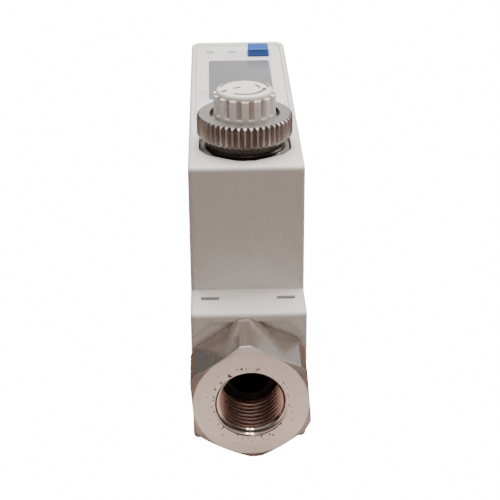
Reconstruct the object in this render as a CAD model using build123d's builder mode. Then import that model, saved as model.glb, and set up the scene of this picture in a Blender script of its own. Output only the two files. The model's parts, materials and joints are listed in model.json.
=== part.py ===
"""In-line digital flow switch with a flow adjusting needle valve built in at its outlet end.

Millimetres, +Z up. The flow runs along Y: the outlet port is at -Y, under the adjusting knob,
and the inlet port at +Y. The origin is under the middle of the flat base.
"""
import os
from math import cos, pi, radians, tan

from build123d import *

# Housing
body_width = 34.0
lower_length = 155.9
upper_length = 125.1
axis_height = 23.0
ledge_height = 42.8
case_height = 39.35
edge_round = 1.4
front_corner_round = 1.5
back_corner_round = 3.4
case_wall = 2.2
case_roof = 2.5
part_gap = 0.1

# Ports
hex_across_flats = 33.4
hex_corner_diameter = 36.8
hex_turn = 4.5
hex_chamfer_angle = 30.0
hex_face_diameter = 33.0
port_projection = 17.8
recess_radius = 20.4
recess_depth = 0.6
hex_gap = 0.15
recess_top = 17.2
spigot_radius = 11.5
spigot_length = 23.0
spigot_clearance = 0.08
thread_minor_radius = 9.32
thread_lead_in = 1.2
thread_bore_depth = 16.0
liner_bore_radius = 6.0
liner_wall = 1.4
liner_flange_radius = 8.7
liner_flange_thickness = 1.5
port_seal_width = 2.0
port_seal_depth = 1.5
port_seal_from_end = 4.0

# Retaining clips
clip_set_back = 9.8
clip_leg_width = 5.2
clip_leg_thickness = 1.7
clip_groove_radius = 8.5
clip_groove_play = 0.3
clip_base_lift = 0.8
clip_base_height = 2.4
clip_end_depth = 1.0

# Flow passage
tube_wall = 2.95
passage_radius = 6.0
tube_length = 48.0
straightener_length = 8.0
bluff_width = 4.0
bluff_back_width = 1.6
bluff_depth = 4.5
bluff_place = 26.0
sensor_place = 12.0
sensor_stem_radius = 4.0
sensor_blade_radius = 2.0
sensor_flange_radius = 6.5
sensor_flange_height = 3.0
probe_place = -15.0
probe_radius = 2.4
probe_flange_radius = 4.2
probe_reach = 2.0
lead_radius = 0.4

# Adjusting valve
valve_set_back = 19.3
bonnet_across_flats = 26.9
bonnet_chamfer_radius = 12.7
bonnet_corner_radius = 14.2
bonnet_hex_height = 8.0
bonnet_opening_gap = 0.35
bonnet_tube_radius = 11.0
bonnet_neck_radius = 11.6
bonnet_neck_height = 6.6
upper_chamber_radius = 9.5
upper_chamber_height = 11.0
lower_chamber_radius = 7.0
lower_chamber_depth = 14.0
by_pass_radius = 4.6
by_pass_drop = 9.5
seat_radius = 8.5
seat_bore_radius = 4.0
seat_thickness = 3.0
spindle_close_travel = 2.0
spindle_open_travel = 4.0
spindle_thread_radius = 5.0
spindle_thread_length = 12.0
spindle_piston_radius = 6.9
spindle_piston_length = 8.0
spindle_stem_radius = 4.4
spindle_drive_across_flats = 5.8
needle_tip_radius = 2.2
needle_root_radius = 4.4
needle_length = 10.0
running_clearance = 0.1
seal_section = 1.8

# Knob and lock ring, heights counted from the top face
knob_hub_radius = 7.0
knob_hub_drop = 3.6
knob_flange_radius = 10.7
knob_flange_base = 6.8
knob_flange_thickness = 1.0
knob_cap_radius = 8.4
knob_rib_radius = 9.2
knob_rib_count = 15
knob_rib_width = 2.35
knob_rib_top = 15.9
knob_top = 17.45
knob_edge_round = 1.1
knob_roof = 2.2
knob_insert_radius = 5.0
knob_insert_length = 13.0
ring_radius = 14.3
ring_base = 2.9
ring_height = 6.85
ring_bore_radius = 10.2
ring_thread_clearance = 0.1
ring_lip = 1.0
ring_chamfer = 0.7
washer_inner_radius = 9.7
washer_outer_radius = 11.4
washer_thickness = 0.5
washer_tab_width = 2.0
washer_tab_thickness = 0.4
washer_tab_length = 3.6
washer_gap = 0.05

# Display and keys, places counted from the upper case's front wall
sheet_margin = 2.0
sheet_start = 40.0
sheet_end = 120.1
sheet_corner = 2.0
sheet_thickness = 0.8
sheet_recess = 0.9
sheet_gap = 0.2
window_width = 21.3
window_start = 60.1
window_end = 102.0
window_flange = 1.2
key_start = 106.5
key_end = 114.0
key_flange = 1.1
key_flange_thickness = 1.0
key_travel = 0.5
key_stem_radius = 0.9
key_play = 0.2
board_depth = 9.2
board_thickness = 1.6
board_width = 28.0
board_start = 40.5
board_end = 121.0
post_radius = 2.0
switch_height = 2.0
# Name, centre across the width, cap width, and the cap's height over the top face
keys = (
    ("key_up", -10.2, 6.4, -0.1),
    ("key_down", -2.25, 6.4, -0.1),
    ("key_set", 7.1, 7.3, 2.6),
)
lcd_thickness = 2.6

# Fasteners, seal and connector
screw_x = 12.4
screw_y = 50.5
screw_radius = 1.45
screw_head_radius = 2.8
screw_head_height = 2.2
screw_head_sink = 3.2
boss_radius = 3.0
boss_height = 11.0
insert_spacing_x = 22.0
insert_spacing_y = 60.0
insert_radius = 2.9
insert_bore_radius = 1.65
insert_length = 7.0
gasket_width = 1.1
gasket_height = 1.0
gasket_inset = 0.6
connector_height = 62.0
connector_radius = 5.95
connector_projection = 10.0
connector_flange_radius = 8.0
connector_flange_thickness = 2.0
connector_seal_thickness = 0.8
connector_nut_radius = 8.2
connector_nut_thickness = 2.5
connector_wall = 1.1
carrier_depth = 4.5
contact_radius = 0.5
contact_circle_radius = 2.4
connector_board_width = 16.0
connector_board_height = 21.0

# Worked out from the values above
top = ledge_height + case_height
front = -lower_length / 2
upper_front = -upper_length / 2
valve_y = upper_front + valve_set_back
port_face = front - port_projection
clip_y = front + clip_set_back
socket_end = front + spigot_length + 1.0
tube_radius = passage_radius + tube_wall
liner_radius = liner_bore_radius + liner_wall
seat_level = axis_height - 1.0
bonnet_base = seat_level + upper_chamber_height
roof_underside = top - case_roof
board_top = top - board_depth + board_thickness
flow_line = Axis((0, 0, axis_height), (0, 1, 0))
valve_line = Axis((0, valve_y, 0), (0, 0, 1))
valve_side = Plane(origin=(0, valve_y, 0), x_dir=(1, 0, 0), z_dir=(0, -1, 0))
flow_side = Plane(origin=(0, 0, axis_height), x_dir=(0, 1, 0), z_dir=(1, 0, 0))
screw_spots = [(x, y) for x in (-screw_x, screw_x) for y in (-screw_y, screw_y)]
os.makedirs("parts", exist_ok=True)


def across(y):
    """The plane that faces -Y at y, with its origin on the flow line."""
    return Plane(origin=(0, y, axis_height), x_dir=(1, 0, 0), z_dir=(0, -1, 0))


def level(z, y=0.0, x=0.0):
    """The horizontal plane at height z, with its origin at x, y."""
    return Plane.XY.offset(z).shift_origin((x, y, z))


def save(part, name):
    """Labels a finished piece and writes its STEP file."""
    part.label = name
    export_step(part, f"parts/{name}.step")


def both_ends(part, name):
    """Writes a piece of the outlet end and its mirror image at the inlet end."""
    save(part, f"outlet_{name}")
    save(mirror(part, about=Plane.XZ), f"inlet_{name}")


# Lower housing: a block with a ledge at each end of the upper case
with BuildPart() as flow_body:
    with BuildSketch(Plane.XY):
        RectangleRounded(body_width, lower_length, front_corner_round)
    extrude(amount=ledge_height)
    fillet(flow_body.faces().sort_by(Axis.Z)[-1].edges(), edge_round)
    fillet(flow_body.faces().sort_by(Axis.Z)[0].edges(), edge_round)
    with BuildSketch(level(ledge_height)):
        RectangleRounded(body_width, upper_length, front_corner_round)
    extrude(amount=-2 * edge_round)
    # Flow passage: measuring tube bore from the inlet, then a narrower run to the valve
    tube_end = -socket_end
    tube_start = tube_end - straightener_length - tube_length
    with BuildSketch(across(tube_end)):
        Circle(tube_radius)
    extrude(amount=tube_end - tube_start, mode=Mode.SUBTRACT)
    bend_y = valve_y + upper_chamber_radius + by_pass_radius
    with BuildSketch(across(tube_start)):
        Circle(passage_radius)
    extrude(amount=tube_start - bend_y, mode=Mode.SUBTRACT)
    with BuildSketch(level(axis_height, bend_y)):
        Circle(by_pass_radius)
    extrude(amount=-by_pass_drop, mode=Mode.SUBTRACT)
    with BuildSketch(across(bend_y)):
        with Locations((0, -by_pass_drop)):
            Circle(by_pass_radius)
    extrude(amount=bend_y - valve_y, mode=Mode.SUBTRACT)
    # Valve chambers, one above the other, with the seat's step between them
    with BuildSketch(level(seat_level, valve_y)):
        Circle(lower_chamber_radius)
    extrude(amount=-lower_chamber_depth, mode=Mode.SUBTRACT)
    with BuildSketch(level(seat_level, valve_y)):
        Circle(seat_radius)
    extrude(amount=-seat_thickness, mode=Mode.SUBTRACT)
    with BuildSketch(level(seat_level, valve_y)):
        Circle(upper_chamber_radius)
    extrude(amount=ledge_height, mode=Mode.SUBTRACT)
    with BuildSketch(level(bonnet_base, valve_y)):
        Circle(bonnet_tube_radius)
    extrude(amount=ledge_height, mode=Mode.SUBTRACT)
    # Outlet run from the upper chamber to the socket
    with BuildSketch(across(valve_y - upper_chamber_radius + 1.5)):
        Circle(liner_radius)
    extrude(amount=valve_y - upper_chamber_radius + 1.5 - socket_end, mode=Mode.SUBTRACT)
    # Sockets, shallow hexagon recesses and clip slots at both ends
    for end in (1, -1):
        with BuildSketch(across(end * front)):
            Circle(spigot_radius + spigot_clearance)
        extrude(amount=-end * (socket_end - front), mode=Mode.SUBTRACT)
        with BuildSketch(across(end * front)):
            Circle(recess_radius)
            with Locations((0, recess_top + recess_radius)):
                Rectangle(body_width * 2, recess_radius * 2, mode=Mode.SUBTRACT)
        extrude(amount=-end * recess_depth, mode=Mode.SUBTRACT)
        clip_middle = clip_groove_radius + part_gap + clip_leg_width / 2
        clip_span = 2 * clip_middle + clip_leg_width + 2 * part_gap
        with BuildSketch(level(0, end * clip_y)):
            with Locations((-clip_middle, 0), (clip_middle, 0)):
                Rectangle(clip_leg_width + 2 * part_gap, clip_leg_thickness + 2 * part_gap)
        extrude(amount=ledge_height, mode=Mode.SUBTRACT)
        with BuildSketch(level(0, end * clip_y)):
            Rectangle(clip_span, clip_leg_thickness + 2 * part_gap)
        extrude(amount=clip_base_lift + clip_base_height + part_gap, mode=Mode.SUBTRACT)
    # Sensor bores from the top
    for place, stem, flange in (
        (sensor_place, sensor_stem_radius, sensor_flange_radius),
        (probe_place, probe_radius, probe_flange_radius),
    ):
        with BuildSketch(level(ledge_height, place)):
            Circle(stem + part_gap)
        extrude(amount=axis_height - ledge_height, mode=Mode.SUBTRACT)
        with BuildSketch(level(ledge_height, place)):
            Circle(flange + part_gap)
        extrude(amount=-sensor_flange_height, mode=Mode.SUBTRACT)
    # Case screws from below, mounting inserts and the gasket groove
    with BuildSketch(level(0)):
        with Locations(*screw_spots):
            Circle(screw_radius + part_gap)
    extrude(amount=ledge_height, mode=Mode.SUBTRACT)
    with BuildSketch(level(0)):
        with Locations(*screw_spots):
            Circle(screw_head_radius + part_gap)
    extrude(amount=screw_head_sink, mode=Mode.SUBTRACT)
    with BuildSketch(level(0)):
        with GridLocations(insert_spacing_x, insert_spacing_y, 2, 2):
            Circle(insert_radius)
    extrude(amount=insert_length, mode=Mode.SUBTRACT)
    gasket_outer = (body_width - 2 * gasket_inset, upper_length - 2 * gasket_inset)
    gasket_inner = [size - 2 * gasket_width for size in gasket_outer]
    with BuildSketch(level(ledge_height)):
        RectangleRounded(*gasket_outer, front_corner_round)
        RectangleRounded(*gasket_inner, front_corner_round / 2, mode=Mode.SUBTRACT)
    extrude(amount=-gasket_height, mode=Mode.SUBTRACT)
save(flow_body.part, "flow_body")

with BuildPart() as case_gasket:
    with BuildSketch(level(ledge_height)):
        RectangleRounded(*gasket_outer, front_corner_round)
        RectangleRounded(*gasket_inner, front_corner_round / 2, mode=Mode.SUBTRACT)
    extrude(amount=-gasket_height)
save(case_gasket.part, "case_gasket")

# Upper housing: a cap, open below, with a roof for the display, the keys and the valve
sheet_width = body_width - 2 * sheet_margin
sheet_length = sheet_end - sheet_start
sheet_y = upper_front + (sheet_start + sheet_end) / 2
window_length = window_end - window_start
window_y = upper_front + (window_start + window_end) / 2
key_length = key_end - key_start
key_y = upper_front + (key_start + key_end) / 2
board_y = upper_front + (board_start + board_end) / 2
board_length = board_end - board_start
post_spots = [
    (x, board_y + y)
    for x in (post_radius - board_width / 2, board_width / 2 - post_radius)
    for y in (post_radius - board_length / 2, board_length / 2 - post_radius)
]
with BuildPart() as upper_case:
    with BuildSketch(level(ledge_height)):
        Rectangle(body_width, upper_length)
        corners = vertices().sort_by(Axis.Y)
        fillet(corners[:2], front_corner_round)
        fillet(vertices().sort_by(Axis.Y)[-2:], back_corner_round)
    extrude(amount=case_height)
    fillet(upper_case.faces().sort_by(Axis.Z)[-1].edges(), edge_round)
    with BuildSketch(level(ledge_height)):
        RectangleRounded(body_width - 2 * case_wall, upper_length - 2 * case_wall, 1.0)
    extrude(amount=case_height - case_roof, mode=Mode.SUBTRACT)
    with BuildSketch(level(ledge_height)):
        with Locations(*screw_spots):
            Circle(boss_radius)
    extrude(amount=boss_height)
    with BuildSketch(level(roof_underside)):
        with Locations(*post_spots):
            Circle(post_radius)
    extrude(amount=board_top - roof_underside)
    with BuildSketch(level(ledge_height)):
        with Locations(*screw_spots):
            Circle(screw_radius + part_gap)
    extrude(amount=boss_height - 1.0, mode=Mode.SUBTRACT)
    with BuildSketch(level(board_top)):
        with Locations(*post_spots):
            Circle(1.0)
    extrude(amount=3.0, mode=Mode.SUBTRACT)
    # Openings in the roof: the bonnet's hexagon, the sheet's recess, the window and the keys
    with BuildSketch(level(top, valve_y)):
        opening_flats = bonnet_across_flats + 2 * bonnet_opening_gap
        RegularPolygon(opening_flats / 2 / cos(radians(30)), 6, rotation=30)
        Circle(bonnet_corner_radius + bonnet_opening_gap, mode=Mode.INTERSECT)
    extrude(amount=-case_roof - 1.0, mode=Mode.SUBTRACT)
    with BuildSketch(level(top, sheet_y)):
        RectangleRounded(sheet_width + 2 * sheet_gap, sheet_length + 2 * sheet_gap, sheet_corner)
    extrude(amount=-sheet_recess, mode=Mode.SUBTRACT)
    with BuildSketch(level(top, window_y)):
        Rectangle(
            window_width + 2 * (window_flange + part_gap),
            window_length + 2 * (window_flange + part_gap),
        )
    extrude(amount=-case_roof, mode=Mode.SUBTRACT)
    with BuildSketch(level(top, key_y)):
        for name, x, width, height in keys:
            with Locations((x, 0)):
                Rectangle(width + 2 * key_play, key_length + 2 * key_play)
    extrude(amount=-case_roof, mode=Mode.SUBTRACT)
    # Connector hole in the back wall
    with BuildSketch(across(-upper_front)):
        with Locations((0, connector_height - axis_height)):
            Circle(connector_radius + part_gap)
    extrude(amount=case_wall * 2, mode=Mode.SUBTRACT)
save(upper_case.part, "upper_case")

with BuildPart() as display_sheet:
    with BuildSketch(level(top - sheet_recess, sheet_y)):
        RectangleRounded(sheet_width, sheet_length, sheet_corner)
        with Locations((0, window_y - sheet_y)):
            Rectangle(window_width + 2 * part_gap, window_length + 2 * part_gap, mode=Mode.SUBTRACT)
        for name, x, width, height in keys:
            with Locations((x, key_y - sheet_y)):
                Rectangle(width + 2 * key_play, key_length + 2 * key_play, mode=Mode.SUBTRACT)
    extrude(amount=sheet_thickness)
save(display_sheet.part, "display_sheet")

with BuildPart() as display_window:
    with BuildSketch(level(top - sheet_recess, window_y)):
        Rectangle(window_width + 2 * window_flange, window_length + 2 * window_flange)
    extrude(amount=-1.2)
    with BuildSketch(level(top - sheet_recess, window_y)):
        Rectangle(window_width, window_length)
    extrude(amount=sheet_thickness - 0.1)
save(display_window.part, "display_window")

# Keys: each has a cap, a flange that holds it under the roof, and a stem into its switch
key_flange_top = roof_underside - 0.3
switch_top = board_top + switch_height
for name, x, width, height in keys:
    with BuildPart() as key:
        with BuildSketch(level(key_flange_top, key_y, x)):
            Rectangle(width, key_length)
        extrude(amount=top + height - key_flange_top)
        fillet(key.faces().sort_by(Axis.Z)[-1].edges(), 0.2)
        with BuildSketch(level(key_flange_top, key_y, x)):
            Rectangle(width, key_length + 2 * key_flange)
        extrude(amount=-key_flange_thickness)
        with BuildSketch(level(key_flange_top - key_flange_thickness, key_y, x)):
            Circle(key_stem_radius)
        extrude(amount=switch_top + 0.3 - key_travel - 1.0 - (key_flange_top - key_flange_thickness))
    save(key.part, name)

with BuildPart() as main_board:
    with BuildSketch(level(board_top, board_y)):
        Rectangle(board_width, board_length)
        with Locations(*[(x, y - board_y) for x, y in post_spots]):
            Circle(1.0, mode=Mode.SUBTRACT)
    extrude(amount=-board_thickness)
save(main_board.part, "main_board")

with BuildPart() as board_screws:
    with BuildSketch(level(board_top - board_thickness)):
        with Locations(*post_spots):
            Circle(post_radius - 0.2)
    extrude(amount=-1.0)
    with BuildSketch(level(board_top - board_thickness)):
        with Locations(*post_spots):
            Circle(0.95)
    extrude(amount=board_thickness + 2.8)
save(board_screws.part, "board_screws")

with BuildPart() as tact_switches:
    with BuildSketch(level(board_top, key_y)):
        with Locations(*[(x, 0) for name, x, width, height in keys]):
            Rectangle(4.5, 4.5)
            Circle(key_stem_radius + 0.2, mode=Mode.SUBTRACT)
    extrude(amount=switch_height)
save(tact_switches.part, "tact_switches")

with BuildPart() as lcd_frame:
    with BuildSketch(level(board_top, window_y)):
        Rectangle(window_width + 1.6, window_length + 1.6)
        Rectangle(window_width - 1.2, window_length - 1.2, mode=Mode.SUBTRACT)
    extrude(amount=roof_underside - 1.4 - lcd_thickness - board_top)
save(lcd_frame.part, "lcd_frame")

with BuildPart() as lcd_module:
    with BuildSketch(level(roof_underside - 1.4 - lcd_thickness, window_y)):
        Rectangle(window_width + 1.0, window_length + 1.0)
    extrude(amount=lcd_thickness)
save(lcd_module.part, "lcd_module")

# Port fittings: hexagon, threaded bore, clip groove and a sealed spigot
hex_back = front - hex_gap
hex_length = hex_back - port_face
spigot_end = front + spigot_length
seal_y = spigot_end - port_seal_from_end
thread_end = port_face + thread_bore_depth
liner_shoulder = thread_end + liner_flange_thickness
hex_drop = (hex_corner_diameter - hex_face_diameter) / 2 * tan(radians(hex_chamfer_angle))
with BuildPart() as fitting:
    with BuildSketch(across(hex_back)):
        RegularPolygon(hex_across_flats / 2 / cos(radians(30)), 6, rotation=30 + hex_turn)
    extrude(amount=hex_length)
    with BuildSketch(flow_side):
        with BuildLine():
            Polyline(
                (port_face, 0),
                (port_face, hex_face_diameter / 2),
                (port_face + hex_drop, hex_corner_diameter / 2),
                (hex_back, hex_corner_diameter / 2),
                (hex_back, 0),
                close=True,
            )
        make_face()
    revolve(axis=flow_line, mode=Mode.INTERSECT)
    with BuildSketch(across(hex_back)):
        Circle(spigot_radius)
    extrude(amount=hex_back - spigot_end)
    with BuildSketch(flow_side):
        with BuildLine():
            Polyline(
                (port_face, 0),
                (port_face, thread_minor_radius + thread_lead_in),
                (port_face + thread_lead_in, thread_minor_radius),
                (thread_end, thread_minor_radius),
                (thread_end, liner_flange_radius + part_gap),
                (liner_shoulder, liner_flange_radius + part_gap),
                (liner_shoulder, liner_radius + part_gap),
                (spigot_end, liner_radius + part_gap),
                (spigot_end, 0),
                close=True,
            )
        make_face()
    revolve(axis=flow_line, mode=Mode.SUBTRACT)
    with BuildSketch(across(clip_y + clip_leg_thickness / 2 + clip_groove_play)):
        Circle(spigot_radius + 1)
        Circle(clip_groove_radius, mode=Mode.SUBTRACT)
    extrude(amount=clip_leg_thickness + 2 * clip_groove_play, mode=Mode.SUBTRACT)
    with BuildSketch(across(seal_y + port_seal_width / 2)):
        Circle(spigot_radius + 1)
        Circle(spigot_radius - port_seal_depth, mode=Mode.SUBTRACT)
    extrude(amount=port_seal_width, mode=Mode.SUBTRACT)
both_ends(fitting.part, "fitting")

with BuildPart() as port_seal:
    with BuildSketch(across(seal_y + port_seal_width / 2)):
        Circle(spigot_radius)
        Circle(spigot_radius - port_seal_depth, mode=Mode.SUBTRACT)
    extrude(amount=port_seal_width)
both_ends(port_seal.part, "seal")

with BuildPart() as port_liner:
    with BuildSketch(flow_side):
        with BuildLine():
            Polyline(
                (thread_end, liner_bore_radius),
                (thread_end, liner_flange_radius),
                (liner_shoulder, liner_flange_radius),
                (liner_shoulder, liner_radius),
                (spigot_end, liner_radius),
                (spigot_end, liner_bore_radius),
                close=True,
            )
        make_face()
    revolve(axis=flow_line)
both_ends(port_liner.part, "liner")

# U clips, pushed in from below: the legs run past the spigot in its groove
with BuildPart() as port_clip:
    with BuildSketch(level(clip_base_lift, clip_y)):
        Rectangle(clip_span - 2 * part_gap, clip_leg_thickness)
    extrude(amount=clip_base_height)
    with BuildSketch(level(clip_base_lift, clip_y)):
        with Locations((-clip_middle, 0), (clip_middle, 0)):
            Rectangle(clip_leg_width, clip_leg_thickness)
    extrude(amount=ledge_height - clip_end_depth - clip_base_lift)
both_ends(port_clip.part, "clip")

# Measuring tube with its bluff bar, and the flow straightener behind it
with BuildPart() as measuring_tube:
    with BuildSketch(across(tube_start + tube_length)):
        Circle(tube_radius - part_gap / 2)
        Circle(passage_radius, mode=Mode.SUBTRACT)
    extrude(amount=tube_length)
    with BuildSketch(level(axis_height - passage_radius - 0.5, bluff_place)):
        with BuildLine():
            Polyline(
                (-bluff_width / 2, bluff_depth / 2),
                (bluff_width / 2, bluff_depth / 2),
                (bluff_back_width / 2, -bluff_depth / 2),
                (-bluff_back_width / 2, -bluff_depth / 2),
                close=True,
            )
        make_face()
    extrude(amount=2 * passage_radius + 1.0)
    with BuildSketch(level(axis_height, sensor_place)):
        Circle(sensor_blade_radius + part_gap)
    extrude(amount=tube_radius + 1, mode=Mode.SUBTRACT)
save(measuring_tube.part, "measuring_tube")

with BuildPart() as flow_straightener:
    with BuildSketch(across(tube_end)):
        Circle(tube_radius - part_gap / 2)
        with HexLocations(1.9, 3, 3):
            Circle(1.35, mode=Mode.SUBTRACT)
    extrude(amount=straightener_length)
save(flow_straightener.part, "flow_straightener")

# Vortex sensor and temperature probe, each with a flange, a seal and leads to the board
sensor_flange_base = ledge_height - sensor_flange_height
with BuildPart() as vortex_sensor:
    with BuildSketch(level(ledge_height, sensor_place)):
        Circle(sensor_flange_radius)
    extrude(amount=-1.8)
    with BuildSketch(level(ledge_height, sensor_place)):
        Circle(sensor_stem_radius)
    extrude(amount=axis_height + tube_radius + part_gap - ledge_height)
    with BuildSketch(level(ledge_height, sensor_place)):
        Circle(sensor_blade_radius)
    extrude(amount=axis_height - 2.0 - ledge_height)
save(vortex_sensor.part, "vortex_sensor")

with BuildPart() as temperature_probe:
    with BuildSketch(level(ledge_height, probe_place)):
        Circle(probe_flange_radius)
    extrude(amount=-1.8)
    with BuildSketch(level(ledge_height, probe_place)):
        Circle(probe_radius)
    extrude(amount=axis_height + probe_reach - ledge_height)
    fillet(temperature_probe.faces().sort_by(Axis.Z)[0].edges(), probe_radius * 0.6)
save(temperature_probe.part, "temperature_probe")

for name, place, stem, flange in (
    ("sensor_seal", sensor_place, sensor_stem_radius, sensor_flange_radius),
    ("probe_seal", probe_place, probe_radius, probe_flange_radius),
):
    with BuildPart() as ring_seal:
        with BuildSketch(level(ledge_height - 1.8, place)):
            Circle(flange)
            Circle(stem, mode=Mode.SUBTRACT)
        extrude(amount=-(sensor_flange_height - 1.8))
    save(ring_seal.part, name)

with BuildPart() as sensor_leads:
    with BuildSketch(level(ledge_height)):
        with Locations(
            (-1.27, sensor_place), (1.27, sensor_place), (-1.27, probe_place), (1.27, probe_place)
        ):
            Circle(lead_radius)
    extrude(amount=board_top - board_thickness - ledge_height)
save(sensor_leads.part, "sensor_leads")

# Valve seat, bonnet, spindle and seals
with BuildPart() as valve_seat:
    with BuildSketch(valve_side):
        with BuildLine():
            Polyline(
                (seat_bore_radius, seat_level - seat_thickness),
                (seat_radius - part_gap / 2, seat_level - seat_thickness),
                (seat_radius - part_gap / 2, seat_level),
                (seat_bore_radius + 0.6, seat_level),
                (seat_bore_radius, seat_level - 0.6),
                close=True,
            )
        make_face()
    revolve(axis=valve_line)
save(valve_seat.part, "valve_seat")

thread_base = seat_level + upper_chamber_height + 17.0
hub_bore_base = top - knob_hub_drop - 0.4
bonnet_hex_base = top - bonnet_hex_height
bonnet_drop = (bonnet_corner_radius - bonnet_chamfer_radius) * tan(radians(hex_chamfer_angle))
seal_groove_base = bonnet_base + 4.0
with BuildPart() as valve_bonnet:
    with BuildSketch(level(top, valve_y)):
        RegularPolygon(bonnet_across_flats / 2 / cos(radians(30)), 6, rotation=30)
    extrude(amount=-bonnet_hex_height)
    with BuildSketch(valve_side):
        with BuildLine():
            Polyline(
                (0, top),
                (bonnet_chamfer_radius, top),
                (bonnet_corner_radius, top - bonnet_drop),
                (bonnet_corner_radius, bonnet_hex_base),
                (0, bonnet_hex_base),
                close=True,
            )
        make_face()
    revolve(axis=valve_line, mode=Mode.INTERSECT)
    with BuildSketch(valve_side):
        with BuildLine():
            Polyline(
                (0, bonnet_base),
                (bonnet_tube_radius - part_gap / 2, bonnet_base),
                (bonnet_tube_radius - part_gap / 2, seal_groove_base),
                (bonnet_tube_radius - seal_section + 0.3, seal_groove_base),
                (bonnet_tube_radius - seal_section + 0.3, seal_groove_base + seal_section),
                (bonnet_tube_radius - part_gap / 2, seal_groove_base + seal_section),
                (bonnet_tube_radius - part_gap / 2, top - 1),
                (bonnet_neck_radius, top - 1),
                (bonnet_neck_radius, top + bonnet_neck_height),
                (0, top + bonnet_neck_height),
                close=True,
            )
        make_face()
    revolve(axis=valve_line)
    with BuildSketch(valve_side):
        with BuildLine():
            Polyline(
                (0, bonnet_base),
                (spindle_piston_radius + running_clearance, bonnet_base),
                (spindle_piston_radius + running_clearance, thread_base),
                (spindle_thread_radius + running_clearance, thread_base),
                (spindle_thread_radius + running_clearance, hub_bore_base),
                (knob_hub_radius + running_clearance, hub_bore_base),
                (knob_hub_radius + running_clearance, top - 2.4),
                (knob_hub_radius + 1.0, top - 2.4),
                (knob_hub_radius + 1.0, top - 1.3),
                (knob_hub_radius + running_clearance, top - 1.3),
                (knob_hub_radius + running_clearance, top + bonnet_neck_height),
                (0, top + bonnet_neck_height),
                close=True,
            )
        make_face()
    revolve(axis=valve_line, mode=Mode.SUBTRACT)
    # Two slots in the neck keep the lock washer from turning
    with BuildSketch(level(top + ring_base, valve_y)):
        with Locations((bonnet_neck_radius, 0), (-bonnet_neck_radius, 0)):
            Rectangle(2.0, washer_tab_width + 0.4)
    extrude(amount=bonnet_neck_height, mode=Mode.SUBTRACT)
save(valve_bonnet.part, "valve_bonnet")

with BuildPart() as bonnet_seal:
    with BuildSketch(level(seal_groove_base, valve_y)):
        Circle(bonnet_tube_radius)
        Circle(bonnet_tube_radius - seal_section + 0.3, mode=Mode.SUBTRACT)
    extrude(amount=seal_section)
save(bonnet_seal.part, "bonnet_seal")

piston_base = bonnet_base + spindle_close_travel + 1.0
piston_top = piston_base + spindle_piston_length
spindle_thread_base = thread_base + spindle_close_travel
spindle_thread_top = spindle_thread_base + spindle_thread_length
needle_tip = seat_level - 5.0
needle_root = needle_tip + needle_length
spindle_seal_base = piston_base + (spindle_piston_length - seal_section) / 2
spindle_seal_radius = spindle_piston_radius - seal_section + 0.4
drive_top = top + spindle_open_travel
with BuildPart() as valve_spindle:
    with BuildSketch(valve_side):
        with BuildLine():
            Polyline(
                (0, needle_tip),
                (needle_tip_radius, needle_tip),
                (needle_root_radius, needle_root),
                (needle_root_radius, piston_base),
                (spindle_piston_radius, piston_base),
                (spindle_piston_radius, spindle_seal_base),
                (spindle_seal_radius, spindle_seal_base),
                (spindle_seal_radius, spindle_seal_base + seal_section),
                (spindle_piston_radius, spindle_seal_base + seal_section),
                (spindle_piston_radius, piston_top),
                (spindle_stem_radius, piston_top),
                (spindle_stem_radius, spindle_thread_base),
                (spindle_thread_radius, spindle_thread_base),
                (spindle_thread_radius, spindle_thread_top),
                (0, spindle_thread_top),
                close=True,
            )
        make_face()
    revolve(axis=valve_line)
    with BuildSketch(level(spindle_thread_top - 1, valve_y)):
        RegularPolygon(spindle_drive_across_flats / 2 / cos(radians(30)), 6, rotation=30)
    extrude(amount=drive_top - spindle_thread_top + 1)
save(valve_spindle.part, "valve_spindle")

with BuildPart() as spindle_seal:
    with BuildSketch(level(spindle_seal_base, valve_y)):
        Circle(spindle_piston_radius + running_clearance / 2)
        Circle(spindle_seal_radius, mode=Mode.SUBTRACT)
    extrude(amount=seal_section)
save(spindle_seal.part, "spindle_seal")

# Knob: a ribbed cap on a flange and a hub, with a brass driving insert
hub_base = top - knob_hub_drop
knob_flange_z = top + knob_flange_base
knob_cap_z = knob_flange_z + knob_flange_thickness
with BuildPart() as knob:
    with BuildSketch(level(hub_base, valve_y)):
        Circle(knob_hub_radius)
    extrude(amount=knob_flange_z - hub_base)
    with BuildSketch(level(top - 2.45, valve_y)):
        Circle(knob_hub_radius)
        Circle(knob_hub_radius - 0.7, mode=Mode.SUBTRACT)
    extrude(amount=1.2, mode=Mode.SUBTRACT)
    with BuildSketch(level(knob_flange_z, valve_y)):
        Circle(knob_flange_radius)
    extrude(amount=knob_flange_thickness)
    with BuildSketch(level(knob_cap_z, valve_y)):
        Circle(knob_cap_radius)
    extrude(amount=top + knob_top - knob_cap_z)
    fillet(knob.faces().sort_by(Axis.Z)[-1].edges(), knob_edge_round)
    with BuildSketch(level(knob_cap_z, valve_y)):
        Circle(knob_rib_radius)
        gap_start = 180 / knob_rib_count - 90
        with PolarLocations(knob_rib_radius, knob_rib_count, start_angle=gap_start):
            gap_width = 2 * pi * knob_rib_radius / knob_rib_count - knob_rib_width
            Rectangle(2 * (knob_rib_radius - knob_cap_radius) + 0.4, gap_width, mode=Mode.SUBTRACT)
    extrude(amount=knob_rib_top - (knob_cap_z - top))
    with BuildSketch(level(hub_base, valve_y)):
        Circle(knob_insert_radius)
    extrude(amount=knob_insert_length, mode=Mode.SUBTRACT)
    with BuildSketch(level(hub_base + knob_insert_length, valve_y)):
        Circle(spindle_drive_across_flats / 2 + 0.8)
    extrude(amount=top + knob_top - knob_roof - hub_base - knob_insert_length, mode=Mode.SUBTRACT)
save(knob.part, "knob")

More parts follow.
